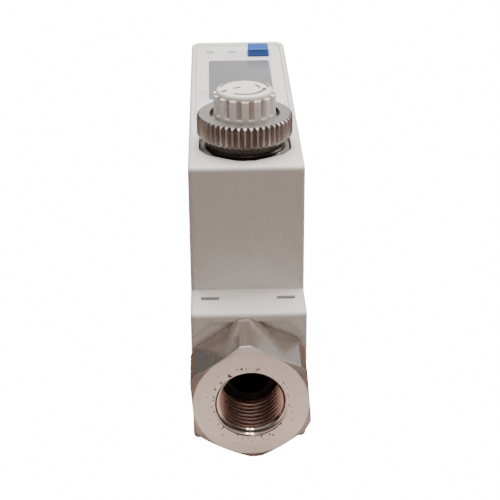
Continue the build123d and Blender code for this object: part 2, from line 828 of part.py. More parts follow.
with BuildPart() as knob_insert:
    with BuildSketch(level(hub_base, valve_y)):
        Circle(knob_insert_radius)
        RegularPolygon(
            (spindle_drive_across_flats / 2 + running_clearance) / cos(radians(30)),
            6,
            rotation=30,
            mode=Mode.SUBTRACT,
        )
    extrude(amount=knob_insert_length)
save(knob_insert.part, "knob_insert")

with BuildPart() as knob_retainer:
    with BuildSketch(level(top - 2.4, valve_y)):
        Circle(knob_hub_radius + 1.0)
        Circle(knob_hub_radius - 0.6, mode=Mode.SUBTRACT)
    extrude(amount=1.1)
save(knob_retainer.part, "knob_retainer")

# Lock ring and the keyed washer that it presses on the knob's flange
ring_top = top + ring_base + ring_height
lip_base = ring_top - ring_lip
ring_thread_radius = bonnet_neck_radius + ring_thread_clearance
with BuildPart() as lock_ring:
    with BuildSketch(valve_side):
        with BuildLine():
            Polyline(
                (ring_thread_radius, top + ring_base),
                (ring_radius - ring_chamfer, top + ring_base),
                (ring_radius, top + ring_base + ring_chamfer),
                (ring_radius, ring_top - ring_chamfer),
                (ring_radius - ring_chamfer, ring_top),
                (ring_bore_radius, ring_top),
                (ring_bore_radius, lip_base),
                (ring_thread_radius, lip_base),
                close=True,
            )
        make_face()
    revolve(axis=valve_line)
save(lock_ring.part, "lock_ring")

washer_top = lip_base - washer_gap
with BuildPart() as lock_washer:
    with BuildSketch(level(washer_top, valve_y)):
        Circle(washer_outer_radius)
        Circle(washer_inner_radius, mode=Mode.SUBTRACT)
    extrude(amount=-washer_thickness)
    with BuildSketch(level(washer_top, valve_y)):
        tab_middle = washer_outer_radius - washer_tab_thickness / 2
        with Locations((tab_middle - 0.05, 0), (0.05 - tab_middle, 0)):
            Rectangle(washer_tab_thickness, washer_tab_width)
    extrude(amount=-washer_tab_length)
save(lock_washer.part, "lock_washer")

# Case screws from below and threaded inserts in the base
with BuildPart() as case_screws:
    with BuildSketch(level(screw_head_sink)):
        with Locations(*screw_spots):
            Circle(screw_head_radius)
    extrude(amount=-screw_head_height)
    with BuildSketch(level(screw_head_sink)):
        with Locations(*screw_spots):
            Circle(screw_radius)
    extrude(amount=ledge_height + boss_height - 2.0 - screw_head_sink)
save(case_screws.part, "case_screws")

with BuildPart() as mounting_inserts:
    with BuildSketch(level(0)):
        with GridLocations(insert_spacing_x, insert_spacing_y, 2, 2):
            Circle(insert_radius)
            Circle(insert_bore_radius, mode=Mode.SUBTRACT)
    extrude(amount=insert_length)
save(mounting_inserts.part, "mounting_inserts")

# Plug-in connector in the back wall
back = -upper_front
connector_line = Axis((0, 0, connector_height), (0, 1, 0))
connector_side = Plane(origin=(0, 0, connector_height), x_dir=(0, 1, 0), z_dir=(1, 0, 0))
flange_base = back + connector_seal_thickness
flange_top = flange_base + connector_flange_thickness
tip = back + connector_projection
inner_end = back - case_wall - connector_nut_thickness - 0.8
carrier_radius = connector_radius - connector_wall
with BuildPart() as connector_shell:
    with BuildSketch(connector_side):
        with BuildLine():
            Polyline(
                (inner_end, carrier_radius),
                (inner_end, connector_radius),
                (flange_base, connector_radius),
                (flange_base, connector_flange_radius),
                (flange_top, connector_flange_radius),
                (flange_top, connector_radius),
                (tip - 0.5, connector_radius),
                (tip, connector_radius - 0.5),
                (tip, carrier_radius),
                close=True,
            )
        make_face()
    revolve(axis=connector_line)
save(connector_shell.part, "connector_shell")

contact_spots = [
    (-contact_circle_radius, 0),
    (contact_circle_radius, 0),
    (0, -contact_circle_radius),
    (0, contact_circle_radius),
]


def across_connector(y):
    """The plane that faces -Y at y, with its origin on the connector's line."""
    return Plane(origin=(0, y, connector_height), x_dir=(1, 0, 0), z_dir=(0, -1, 0))


carrier_face = tip - carrier_depth
with BuildPart() as connector_carrier:
    with BuildSketch(across_connector(carrier_face)):
        Circle(carrier_radius - 0.02)
        with Locations(*contact_spots):
            Circle(contact_radius, mode=Mode.SUBTRACT)
    extrude(amount=carrier_face - inner_end)
save(connector_carrier.part, "connector_carrier")

board_face = inner_end - 2.5
with BuildPart() as connector_pins:
    with BuildSketch(across_connector(tip - 0.8)):
        with Locations(*contact_spots):
            Circle(contact_radius)
    extrude(amount=tip - 0.8 - board_face)
save(connector_pins.part, "connector_pins")

with BuildPart() as connector_board:
    lower = board_top - board_thickness - connector_board_height
    with BuildSketch(level(lower, board_face - 0.8)):
        Rectangle(connector_board_width, 1.6)
    extrude(amount=connector_board_height)
save(connector_board.part, "connector_board")

with BuildPart() as connector_nut:
    with BuildSketch(across_connector(back - case_wall)):
        RegularPolygon(connector_nut_radius, 6)
        Circle(connector_radius, mode=Mode.SUBTRACT)
    extrude(amount=connector_nut_thickness)
save(connector_nut.part, "connector_nut")

with BuildPart() as connector_seal:
    with BuildSketch(across_connector(flange_base)):
        Circle(connector_flange_radius - 0.5)
        Circle(connector_radius, mode=Mode.SUBTRACT)
    extrude(amount=connector_seal_thickness)
save(connector_seal.part, "connector_seal")
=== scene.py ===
# %% [markdown]
# # In-line flow switch with a flow adjusting knob
# The instrument is a slim moulded case between two stainless ports, with a display on its
# roof and a needle valve at one end. This lesson loads the engineering model as a fixed
# frame, then gives it finishes and remakes the pieces whose look needs more than the
# engineering model holds: threads, knurls, grips, engraved marks and soft edges.

# %% Load the frame
import json
import math

import bmesh
import bpy
from mathutils import Matrix, Vector


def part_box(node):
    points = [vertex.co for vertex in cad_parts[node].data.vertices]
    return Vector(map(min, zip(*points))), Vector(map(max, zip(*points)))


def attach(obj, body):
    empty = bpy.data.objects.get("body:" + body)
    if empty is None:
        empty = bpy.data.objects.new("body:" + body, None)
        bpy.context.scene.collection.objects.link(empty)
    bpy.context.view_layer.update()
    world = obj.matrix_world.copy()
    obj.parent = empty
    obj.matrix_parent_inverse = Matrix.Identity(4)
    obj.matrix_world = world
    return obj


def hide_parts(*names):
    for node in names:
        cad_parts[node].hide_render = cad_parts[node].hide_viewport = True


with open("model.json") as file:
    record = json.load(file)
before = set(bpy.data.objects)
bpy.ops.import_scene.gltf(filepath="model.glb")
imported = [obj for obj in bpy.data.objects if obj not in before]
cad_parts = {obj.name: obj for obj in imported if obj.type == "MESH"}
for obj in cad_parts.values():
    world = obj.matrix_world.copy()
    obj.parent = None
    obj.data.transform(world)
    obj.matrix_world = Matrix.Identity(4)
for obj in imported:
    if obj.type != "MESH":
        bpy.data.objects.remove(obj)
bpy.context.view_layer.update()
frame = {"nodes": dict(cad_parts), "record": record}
MM = 0.001


def box_mm(node):
    """Lowest and highest corner of an engineering part, in millimetres."""
    low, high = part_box(node)
    return low / MM, high / MM


port_low, port_high = box_mm("outlet_fitting")
bonnet_low, bonnet_high = box_mm("valve_bonnet")
AXIS_HEIGHT = (port_low.z + port_high.z) / 2
PORT_FACE = port_low.y
TOP = box_mm("upper_case")[1].z
VALVE_Y = (bonnet_low.y + bonnet_high.y) / 2
print("parts loaded:", len(frame["nodes"]), "axis at", round(AXIS_HEIGHT, 2), "top at", round(TOP, 2))

# %% [markdown]
# ## Camera
# A long lens looks down on the outlet port and along the slim case. The camera is placed
# from its position and its three turns: yaw to the right, pitch down, and a slight roll.

# %% Camera
camera_place = Vector((-8.68, -422.28, 226.92)) * MM
yaw, pitch, roll = math.radians(1.514), math.radians(25.431), math.radians(-0.380)
forward = Vector((math.sin(yaw) * math.cos(pitch), math.cos(yaw) * math.cos(pitch), -math.sin(pitch)))
level_right = Vector((math.cos(yaw), -math.sin(yaw), 0))
level_up = level_right.cross(forward)
right = math.cos(roll) * level_right + math.sin(roll) * level_up
up = -math.sin(roll) * level_right + math.cos(roll) * level_up
camera_data = bpy.data.cameras.new("camera")
camera_data.sensor_width = 36
camera_data.lens = 97.05
camera = bpy.data.objects.new("camera", camera_data)
bpy.context.collection.objects.link(camera)
turn = Matrix((right, up, -forward)).transposed().to_4x4()
camera.matrix_world = Matrix.Translation(camera_place) @ turn
bpy.context.scene.camera = camera
print("camera looks along", [round(value, 3) for value in forward])

# %% [markdown]
# ## Small helpers
# One function turns a hex colour to linear light, and one adds a node with its settings
# and links. Every material below is made with these two.

# %% Colour and node helpers


def linear(hex_colour):
    """An sRGB hex colour as linear RGBA."""
    channels = [int(hex_colour[i : i + 2], 16) / 255 for i in (0, 2, 4)]
    return [c / 12.92 if c <= 0.04045 else ((c + 0.055) / 1.055) ** 2.4 for c in channels] + [1.0]


def add(material, kind, settings=None, inputs=None, links=None):
    """Adds a node, sets its properties and inputs, and links sockets into it."""
    node = material.node_tree.nodes.new(kind)
    for name, value in (settings or {}).items():
        setattr(node, name, value)
    for name, value in (inputs or {}).items():
        node.inputs[name].default_value = value
    for name, socket in (links or {}).items():
        material.node_tree.links.new(socket, node.inputs[name])
    return node


def new_material(name):
    """An empty node material and its Object coordinates."""
    material = bpy.data.materials.new(name)
    material.use_nodes = True
    material.node_tree.nodes.clear()
    place = add(material, "ShaderNodeTexCoord").outputs["Object"]
    return material, place


def finish_material(material, shader):
    """Links a shader to the material's output."""
    add(material, "ShaderNodeOutputMaterial", links={"Surface": shader.outputs["BSDF"]})
    return material


# %% [markdown]
# ## Moulded plastics
# The case is a glass-filled engineering plastic, moulded off-white with a fine spark-eroded
# texture. Such a part is evenly coloured, with a faint mottle from the flow of the melt and
# a fine grain that breaks up its highlights. The grain of a real mould is about 0.1 mm. It
# is drawn here at about 0.4 mm, because the true one would be too fine to show.

# %% Moulded plastic materials


def moulded_plastic(name, light, dark, grain_mm, roughness, bump, ior=1.5):
    """A moulded plastic with a faint mottle and a fine grain."""
    material, place = new_material(name)
    mottle = add(
        material, "ShaderNodeTexNoise",
        inputs={"Scale": 1 / (14 * MM), "Detail": 4.0, "Roughness": 0.6}, links={"Vector": place},
    )
    grain = add(
        material, "ShaderNodeTexNoise",
        inputs={"Scale": 1 / (grain_mm * MM), "Detail": 2.0, "Roughness": 0.5}, links={"Vector": place},
    )
    tint = add(
        material, "ShaderNodeMix", {"data_type": "RGBA"}, links={"Factor": mottle.outputs["Fac"]},
    )
    tint.inputs["A"].default_value = linear(dark)
    tint.inputs["B"].default_value = linear(light)
    polish = add(
        material, "ShaderNodeMapRange",
        inputs={"To Min": roughness - 0.05, "To Max": roughness + 0.06},
        links={"Value": mottle.outputs["Fac"]},
    )
    relief = add(
        material, "ShaderNodeBump",
        inputs={"Strength": bump, "Distance": 0.05 * MM}, links={"Height": grain.outputs["Fac"]},
    )
    shader = add(
        material, "ShaderNodeBsdfPrincipled", inputs={"IOR": ior},
        links={
            "Base Color": tint.outputs["Result"],
            "Roughness": polish.outputs["Result"],
            "Normal": relief.outputs["Normal"],
        },
    )
    return finish_material(material, shader)


case_plastic = moulded_plastic("PPS_moulded_offwhite", "E4E0DB", "DCD8D2", 0.42, 0.46, 0.35)
sheet_plastic = moulded_plastic("Polyester_sheet_printed", "E6E4E2", "E0DEDC", 0.30, 0.38, 0.12)
window_plastic = moulded_plastic("Acrylic_window_grey", "818082", "7C7B7E", 3.0, 0.16, 0.02, 1.49)
blue_plastic = moulded_plastic("Acetal_key_blue", "1F56A5", "1A4C97", 0.35, 0.34, 0.15)
knob_plastic = moulded_plastic("Acetal_knob_offwhite", "F1EDE9", "E8E3DE", 0.38, 0.40, 0.25)
# A darker copy of the knob plastic: painted shade for the rib gaps and the engraved marks.
knob_recess_shade_plastic = moulded_plastic("Acetal_knob_painted_recess_shade", "C4BAB3", "B4A9A2", 0.38, 0.50, 0.25)
black_plastic = moulded_plastic("PPS_moulded_black", "2C2A2B", "222021", 0.40, 0.38, 0.30)
mark_ink = moulded_plastic("Ink_screenprinted_grey", "A9AAAF", "9C9DA3", 0.20, 0.45, 0.05)
pale_ink = moulded_plastic("Ink_screenprinted_pale", "D2D1D0", "CCCBCB", 0.20, 0.42, 0.05)
seal_rubber = moulded_plastic("FKM_rubber_moulded", "1A1919", "111010", 0.30, 0.62, 0.30)
print("moulded plastics:", len(bpy.data.materials))

# %% [markdown]
# ## Metals
# The ports and the valve are stainless steel, turned on a lathe and milled flat. Turning
# leaves fine rings about the axis and milling leaves faint straight streaks, so a noise
# stretched along the cut stands for both. Metals keep the default IOR, and all their
# variation is in colour, roughness and a very shallow bump.

# %% Machined metal materials


def machined_metal(name, light, dark, roughness, spread, streak_mm, bump=0.25):
    """Metal with streaks stretched by streak_mm per axis."""
    material, place = new_material(name)
    stretched = add(
        material, "ShaderNodeMapping",
        inputs={"Scale": [1 / (size * MM) for size in streak_mm]}, links={"Vector": place},
    )
    streaks = add(
        material, "ShaderNodeTexNoise",
        inputs={"Scale": 1.0, "Detail": 5.0, "Roughness": 0.62},
        links={"Vector": stretched.outputs["Vector"]},
    )
    clouds = add(
        material, "ShaderNodeTexNoise",
        inputs={"Scale": 1 / (5 * MM), "Detail": 3.0, "Roughness": 0.55}, links={"Vector": place},
    )
    tint = add(
        material, "ShaderNodeMix", {"data_type": "RGBA"}, links={"Factor": clouds.outputs["Fac"]},
    )
    tint.inputs["A"].default_value = linear(dark)
    tint.inputs["B"].default_value = linear(light)
    polish = add(
        material, "ShaderNodeMapRange",
        inputs={
            "From Min": 0.25, "From Max": 0.8,
            "To Min": roughness - spread, "To Max": roughness + spread,
        },
        links={"Value": streaks.outputs["Fac"]},
    )
    relief = add(
        material, "ShaderNodeBump",
        inputs={"Strength": bump, "Distance": 0.02 * MM}, links={"Height": streaks.outputs["Fac"]},
    )
    shader = add(
        material, "ShaderNodeBsdfPrincipled", inputs={"Metallic": 1.0},
        links={
            "Base Color": tint.outputs["Result"],
            "Roughness": polish.outputs["Result"],
            "Normal": relief.outputs["Normal"],
        },
    )
    return finish_material(material, shader)


flat_steel = machined_metal(
    "Stainless_milled_satin", "CFC6C0", "BFB5AE", 0.22, 0.08, (0.5, 14, 0.5), 0.30,
)
turned_steel = machined_metal(
    "Stainless_turned_polished", "C8BEB6", "B5A9A0", 0.17, 0.05, (3, 0.25, 3), 0.25,
)
ring_steel = machined_metal(
    "Stainless_knurled_satin", "BFBAB7", "B1ABA7", 0.36, 0.03, (0.2, 0.2, 9), 0.10,
)
# A darker copy of the knurl steel: painted shade in the roots between the teeth.
knurl_root_shade_steel = machined_metal("Stainless_knurl_painted_root_shade", "A0968F", "8A8079", 0.45, 0.06, (0.3, 0.3, 9), 0.10)
# A paler copy of the knurl steel: painted highlight on the tooth crests.
knurl_crest_highlight_steel = machined_metal("Stainless_knurl_painted_crest_highlight", "F2EEEC", "E4DEDA", 0.36, 0.04, (0.3, 0.3, 9), 0.10)
# A near-black steel for the neck collar: painted shadow under the lock ring.
neck_shadow_steel = machined_metal("Stainless_neck_painted_shadow", "48423E", "352F2C", 0.28, 0.06, (3, 3, 0.3), 0.20)
clip_steel = machined_metal("Stainless_sheet_stamped", "7D6F66", "6A5D55", 0.38, 0.08, (0.5, 0.5, 9))
brass = machined_metal("Brass_turned_bright", "D9B36A", "C39C54", 0.28, 0.08, (0.4, 0.4, 6))
nickel = machined_metal("Brass_nickel_plated", "CFC9BF", "BDB7AD", 0.22, 0.06, (5, 0.4, 5))
# A paler, warmer copy of the steel for the thread: painted light where little light reaches into the bore.
thread_lightened_steel = machined_metal("Stainless_thread_painted_light", "D6B6AB", "C5A297", 0.36, 0.06, (3, 0.3, 3), 0.15)
# A dark copy of the steel: painted shade for the lock ring's bore and underside.
ring_underside_shade_steel = machined_metal("Stainless_ring_painted_underside_shade", "3A332F", "2A2522", 0.36, 0.08, (2, 2, 2), 0.15)
screw_steel = machined_metal("Steel_zinc_plated", "B9BABC", "A2A3A6", 0.30, 0.08, (2, 2, 2))
gold = machined_metal("Brass_gold_plated", "E2BF6A", "D2AC56", 0.22, 0.05, (1, 1, 1))
print("metals ready")

# %% [markdown]
# ## Port face
# The end of each port is faced on a lathe and then handled and knocked in use, so it is a
# pale matt steel with faint rings, tiny dark pits, and a few more of them near the bore.

# %% Port face material


def faced_steel(name, light, dark, axis_height):
    """Matt faced steel with dark specks that gather round the bore."""
    material, place = new_material(name)
    centred = add(
        material, "ShaderNodeMapping",
        inputs={"Location": (0, 0, -axis_height * MM), "Scale": (1, 0, 1)}, links={"Vector": place},
    )
    reach = add(
        material, "ShaderNodeVectorMath", {"operation": "LENGTH"}, links={0: centred.outputs["Vector"]},
    )
    specks = add(
        material, "ShaderNodeTexNoise",
        inputs={"Scale": 1 / (1.1 * MM), "Detail": 3.0, "Roughness": 0.6}, links={"Vector": place},
    )
    near_bore = add(
        material, "ShaderNodeMapRange",
        inputs={"From Min": 10.5 * MM, "From Max": 14.5 * MM, "To Min": 0.2, "To Max": 0.03},
        links={"Value": reach.outputs["Value"]},
    )
    likely = add(
        material, "ShaderNodeMath", {"operation": "ADD"},
        links={0: specks.outputs["Fac"], 1: near_bore.outputs["Result"]},
    )
    pits = add(
        material, "ShaderNodeMapRange",
        inputs={"From Min": 0.74, "From Max": 0.78}, links={"Value": likely.outputs["Value"]},
    )
    clouds = add(
        material, "ShaderNodeTexNoise",
        inputs={"Scale": 1 / (3 * MM), "Detail": 5.0, "Roughness": 0.7}, links={"Vector": place},
    )
    tint = add(
        material, "ShaderNodeMix", {"data_type": "RGBA"}, links={"Factor": clouds.outputs["Fac"]},
    )
    tint.inputs["A"].default_value = linear(dark)
    tint.inputs["B"].default_value = linear(light)
    pitted = add(
        material, "ShaderNodeMix", {"data_type": "RGBA"},
        links={"Factor": pits.outputs["Result"], "A": tint.outputs["Result"]},
    )
    pitted.inputs["B"].default_value = linear("5A4C45")
    polish = add(
        material, "ShaderNodeMapRange",
        inputs={"To Min": 0.42, "To Max": 0.56}, links={"Value": clouds.outputs["Fac"]},
    )
    rings = add(
        material, "ShaderNodeTexWave",
        {"wave_type": "RINGS", "rings_direction": "SPHERICAL"},
        {"Scale": 1 / (4 * MM), "Distortion": 0.4, "Detail": 2.0},
        {"Vector": centred.outputs["Vector"]},
    )
    relief = add(
        material, "ShaderNodeBump",
        inputs={"Strength": 0.3, "Distance": 0.02 * MM}, links={"Height": rings.outputs["Fac"]},
    )
    shader = add(
        material, "ShaderNodeBsdfPrincipled", inputs={"Metallic": 1.0},
        links={
            "Base Color": pitted.outputs["Result"],
            "Roughness": polish.outputs["Result"],
            "Normal": relief.outputs["Normal"],
        },
    )
    return finish_material(material, shader)


face_steel = faced_steel("Stainless_faced_matt", "EBE1DC", "D9CDC7", AXIS_HEIGHT)
board_green = moulded_plastic("FR4_solder_resist", "1F5A35", "174B2B", 0.5, 0.30, 0.2)
display_glass = moulded_plastic("Glass_display_cell", "8E938C", "868B85", 4.0, 0.10, 0.02, 1.52)
print("face, board and display cell ready")

# %% [markdown]
# ## Modelling helpers
# Pieces are modelled in millimetres with bmesh operators. A turned piece is a half profile
# spun about its axis, as on a lathe. Solids are joined or cut by Blender's exact Boolean,
# and the finished shape is scaled to metres with its place in its mesh.

# %% Modelling helpers


ALONG_FLOW = Matrix.Rotation(-math.pi / 2, 3, "X")


def clean(shape):
    """Merges doubles, dissolves degenerate bits and turns every face outwards."""
    bmesh.ops.remove_doubles(shape, verts=shape.verts, dist=0.0005)
    bmesh.ops.dissolve_degenerate(shape, edges=shape.edges, dist=0.0002)
    bmesh.ops.recalc_face_normals(shape, faces=shape.faces)
    return shape


def turned(profile, steps=96, centre=(0, 0, 0), axis="Z"):
    """Spins a closed half profile of (radius, height) points about an axis through centre."""
    shape = bmesh.new()
    corners = [shape.verts.new((radius, 0, height)) for radius, height in profile]
    for one, other in zip(corners, corners[1:] + corners[:1]):
        shape.edges.new((one, other))
    bmesh.ops.spin(
        shape, geom=shape.verts[:] + shape.edges[:], cent=(0, 0, 0), axis=(0, 0, 1),
        dvec=(0, 0, 0), angle=math.tau, steps=steps, use_merge=True,
    )
    if axis == "Y":
        bmesh.ops.rotate(shape, verts=shape.verts, cent=(0, 0, 0), matrix=ALONG_FLOW)
    bmesh.ops.translate(shape, verts=shape.verts, vec=centre)
    return clean(shape)


def block(size, centre, corner=0.0, segments=5):
    """A box whose four upright edges are rounded by corner."""
    shape = bmesh.new()
    bmesh.ops.create_cube(shape, size=1.0)
    bmesh.ops.scale(shape, verts=shape.verts, vec=size)
    if corner:
        upright = [e for e in shape.edges if abs(e.verts[0].co.z - e.verts[1].co.z) > 1e-6]
        bmesh.ops.bevel(
            shape, geom=upright, offset=corner, offset_type="OFFSET", segments=segments,
            profile=0.5, affect="EDGES", material=-1,
        )
    bmesh.ops.translate(shape, verts=shape.verts, vec=centre)
    return shape


def as_object(shape, name="working"):
    """Puts a bmesh into a new linked object."""
    mesh = bpy.data.meshes.new(name)
    shape.to_mesh(mesh)
    shape.free()
    made = bpy.data.objects.new(name, mesh)
    bpy.context.collection.objects.link(made)
    return made


def combine(shape, tool, operation="UNION"):
    """Returns shape joined with tool, cut by it (DIFFERENCE) or limited to it (INTERSECT)."""
    keep, other = as_object(shape), as_object(tool)
    boolean = keep.modifiers.new("boolean", "BOOLEAN")
    boolean.operation = operation
    boolean.solver = "EXACT"
    boolean.object = other
    evaluated = keep.evaluated_get(bpy.context.evaluated_depsgraph_get())
    result = bmesh.new()
    result.from_mesh(evaluated.data)
    for spent in (keep, other):
        bpy.data.objects.remove(spent, do_unlink=True)
    return clean(result)


def rounded(shape, width, segments=2, angle=35):
    """Breaks every edge that is sharper than angle."""
    sharp = [e for e in shape.edges if e.is_manifold and e.calc_face_angle(0) > math.radians(angle)]
    bmesh.ops.bevel(
        shape, geom=sharp, offset=width, offset_type="OFFSET", segments=segments,
        profile=0.5, affect="EDGES", material=-1, clamp_overlap=True,
    )
    return clean(shape)


def piece(name, shape, body, material, stands_for=(), smooth=35):
    """Makes the finished piece: metres, shading, material, body and the parts it stands for."""
    bmesh.ops.scale(shape, verts=shape.verts, vec=(MM, MM, MM))
    for face in shape.faces:
        face.smooth = True
    for edge in shape.edges:
        edge.smooth = edge.is_manifold and edge.calc_face_angle(0) < math.radians(smooth)
    made = as_object(shape, name)
    made.data.materials.append(material)
    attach(made, body)
    if stands_for:
        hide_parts(*stands_for)
    print("piece", name, "faces", len(made.data.polygons))
    return made


# %% [markdown]
# ## Threads
# A screw thread is one profile swept along a helix: spin does that when each step also
# moves along the axis. The swept rod is trimmed square at both ends and capped, which
# makes a closed tap that cuts a real thread into a port, or a male thread by itself.

# %% Thread helper


def thread_rod(root, crest, pitch, length, steps=72):
    """A closed rod along +Z with a 55 degree thread between the radii root and crest."""
    turns = math.ceil(length / pitch) + 2
    shape = bmesh.new()
    flat = pitch * 0.12
    heights = (
        (root, 0.0), (crest, pitch / 2 - flat), (crest, pitch / 2 + flat), (root, pitch - flat), (root, pitch),
    )
    corners = [shape.verts.new((radius, 0, height - pitch)) for radius, height in heights]
    for one, other in zip(corners, corners[1:]):
        shape.edges.new((one, other))
    bmesh.ops.spin(
        shape, geom=shape.verts[:] + shape.edges[:], cent=(0, 0, 0), axis=(0, 0, 1),
        dvec=(0, 0, pitch / steps), angle=math.tau * turns, steps=steps * turns,
    )
    bmesh.ops.remove_doubles(shape, verts=shape.verts, dist=0.002)
    for height, side in ((0.0, -1), (length, 1)):
        bmesh.ops.bisect_plane(
            shape, geom=shape.verts[:] + shape.edges[:] + shape.faces[:], dist=1e-5,
            plane_co=(0, 0, height), plane_no=(0, 0, side), clear_outer=True,
        )
        rim = [
            e for e in shape.edges
            if e.is_boundary and all(abs(v.co.z - height) < 1e-4 for v in e.verts)
        ]
        bmesh.ops.edgenet_fill(shape, edges=rim)
    return clean(shape)


PIPE_PITCH = 1.814
PIPE_MINOR = 9.32
PIPE_MAJOR = 10.48

# %% [markdown]
# ## Ports
# Each port is a hexagon bar end: a prism whose corners are turned back to a 30 degree
# chamfer, bored, countersunk and threaded inside, with a grooved spigot that goes into the
# case. The prism is limited to a turned chamfer solid, which gives the curved chamfer
# edges of a real hexagon, and the inlet port is the outlet port's mirror image.

# %% Port fittings
ACROSS_FLATS = 33.4
FACE_RADIUS = 16.5
CORNER_RADIUS = 18.4
HEX_TURN = math.radians(4.5)
HEX_BACK = box_mm("flow_body")[0].y - 0.15
SPIGOT_END = port_high.y
COUNTERSINK = 1.2
MOUTH_RADIUS = PIPE_MINOR + COUNTERSINK
CHAMFER_REACH = 1.2
FACING_END = 0.6
THREAD_END = PORT_FACE + 16.0
TAPER = 1 / 32
LINER_RADIUS = 7.5


def port_fitting():
    """The outlet port fitting, in millimetres."""
    length = HEX_BACK - PORT_FACE
    prism = bmesh.new()
    bmesh.ops.create_cone(
        prism, cap_ends=True, segments=6, depth=length,
        radius1=ACROSS_FLATS / 2 / math.cos(math.pi / 6), radius2=ACROSS_FLATS / 2 / math.cos(math.pi / 6),
    )
    bmesh.ops.rotate(prism, verts=prism.verts, cent=(0, 0, 0), matrix=Matrix.Rotation(HEX_TURN, 3, "Z"))
    bmesh.ops.rotate(prism, verts=prism.verts, cent=(0, 0, 0), matrix=Matrix.Rotation(math.pi / 2, 3, "X"))
    bmesh.ops.translate(prism, verts=prism.verts, vec=(0, PORT_FACE + length / 2, AXIS_HEIGHT))
    drop = (CORNER_RADIUS - FACE_RADIUS) * math.tan(math.radians(30))
    centre = (0, 0, AXIS_HEIGHT)
    chamfer = turned(
        ((0, PORT_FACE - 0.001), (FACE_RADIUS, PORT_FACE - 0.001), (CORNER_RADIUS, PORT_FACE + drop),
         (CORNER_RADIUS, HEX_BACK + 1), (0, HEX_BACK + 1)),
        192, centre, "Y",
    )
    head = combine(prism, chamfer, "INTERSECT")
    head = rounded(head, 0.06)
    spigot = turned(
        ((LINER_RADIUS, HEX_BACK - 2), (11.5, HEX_BACK - 2), (11.5, -69.3), (8.5, -69.3), (8.5, -67.0),
         (11.5, -67.0), (11.5, SPIGOT_END - 5), (10.0, SPIGOT_END - 5), (10.0, SPIGOT_END - 3),
         (11.5, SPIGOT_END - 3), (11.5, SPIGOT_END - 0.5), (11.0, SPIGOT_END), (LINER_RADIUS, SPIGOT_END)),
        96, centre, "Y",
    )
    head = combine(head, spigot)
    bore = turned(
        ((0, PORT_FACE - 1), (MOUTH_RADIUS + 0.95, PORT_FACE - 1), (MOUTH_RADIUS + 0.15, PORT_FACE),
         (MOUTH_RADIUS + 0.12, PORT_FACE + 0.35), (MOUTH_RADIUS - 0.25, PORT_FACE + 0.35),
         (PIPE_MINOR - 0.2, PORT_FACE + COUNTERSINK + 0.6), (PIPE_MINOR - 0.65, THREAD_END),
         (8.8, THREAD_END),
         (8.8, THREAD_END + 1.5), (LINER_RADIUS, THREAD_END + 1.5), (LINER_RADIUS, SPIGOT_END + 1),
         (0, SPIGOT_END + 1)),
        96, centre, "Y",
    )
    head = combine(head, bore, "DIFFERENCE")
    tap = thread_rod(PIPE_MINOR - 0.4, PIPE_MAJOR - 0.2, PIPE_PITCH, THREAD_END - PORT_FACE + 2.0)
    bmesh.ops.rotate(tap, verts=tap.verts, cent=(0, 0, 0), matrix=ALONG_FLOW)
    for vert in tap.verts:
        reach = math.hypot(vert.co.x, vert.co.z)
        if reach:
            vert.co.x *= 1 - vert.co.y * TAPER / reach
            vert.co.z *= 1 - vert.co.y * TAPER / reach
    bmesh.ops.translate(tap, verts=tap.verts, vec=(0, PORT_FACE - 2.2, AXIS_HEIGHT))
    return combine(head, tap, "DIFFERENCE")


def finish_port(made):
    """Gives the faced end, the hexagon's flats and the turned bore their own finishes, with painted light on the
    thread.
    """
    made.data.materials.append(turned_steel)
    made.data.materials.append(face_steel)
    made.data.materials.append(thread_lightened_steel)
    for face in made.data.polygons:
        centre = face.center / MM
        reach = math.hypot(centre.x, centre.z - AXIS_HEIGHT)
        corners = [made.data.vertices[index].co / MM for index in face.vertices]
        nearest = min(math.hypot(corner.x, corner.z - AXIS_HEIGHT) for corner in corners)
        at_end = abs(centre.y) > abs(PORT_FACE) - CHAMFER_REACH
        if abs(face.normal.y) > FACING_END and at_end and nearest > PIPE_MAJOR + 0.05:
            face.material_index = 2
        elif reach < 11.2 and abs(centre.y) > abs(PORT_FACE) - COUNTERSINK - 1.0:
            face.material_index = 1
        # The thread deeper in the bore takes the paler copy, as painted light.
        elif reach < 11.2:
            face.material_index = 3
    return made


outlet_shape = port_fitting()
inlet_shape = outlet_shape.copy()
bmesh.ops.scale(inlet_shape, verts=inlet_shape.verts, vec=(1, -1, 1))
clean(inlet_shape)
outlet_port = piece(
    "outlet_port_fitting", outlet_shape, "outlet_port", flat_steel, ["outlet_fitting"], 8,
)
inlet_port = piece(
    "inlet_port_fitting", inlet_shape, "inlet_port", flat_steel, ["inlet_fitting"], 8,
)
finish_port(outlet_port)
finish_port(inlet_port)

# %% [markdown]
# ## Lock ring
# The lock ring is turned, then knurled with straight teeth that the hand can grip. A
# toothed prism limited to a turned ring with chamfered edges gives each tooth the small
# scalloped end that a real straight knurl has.

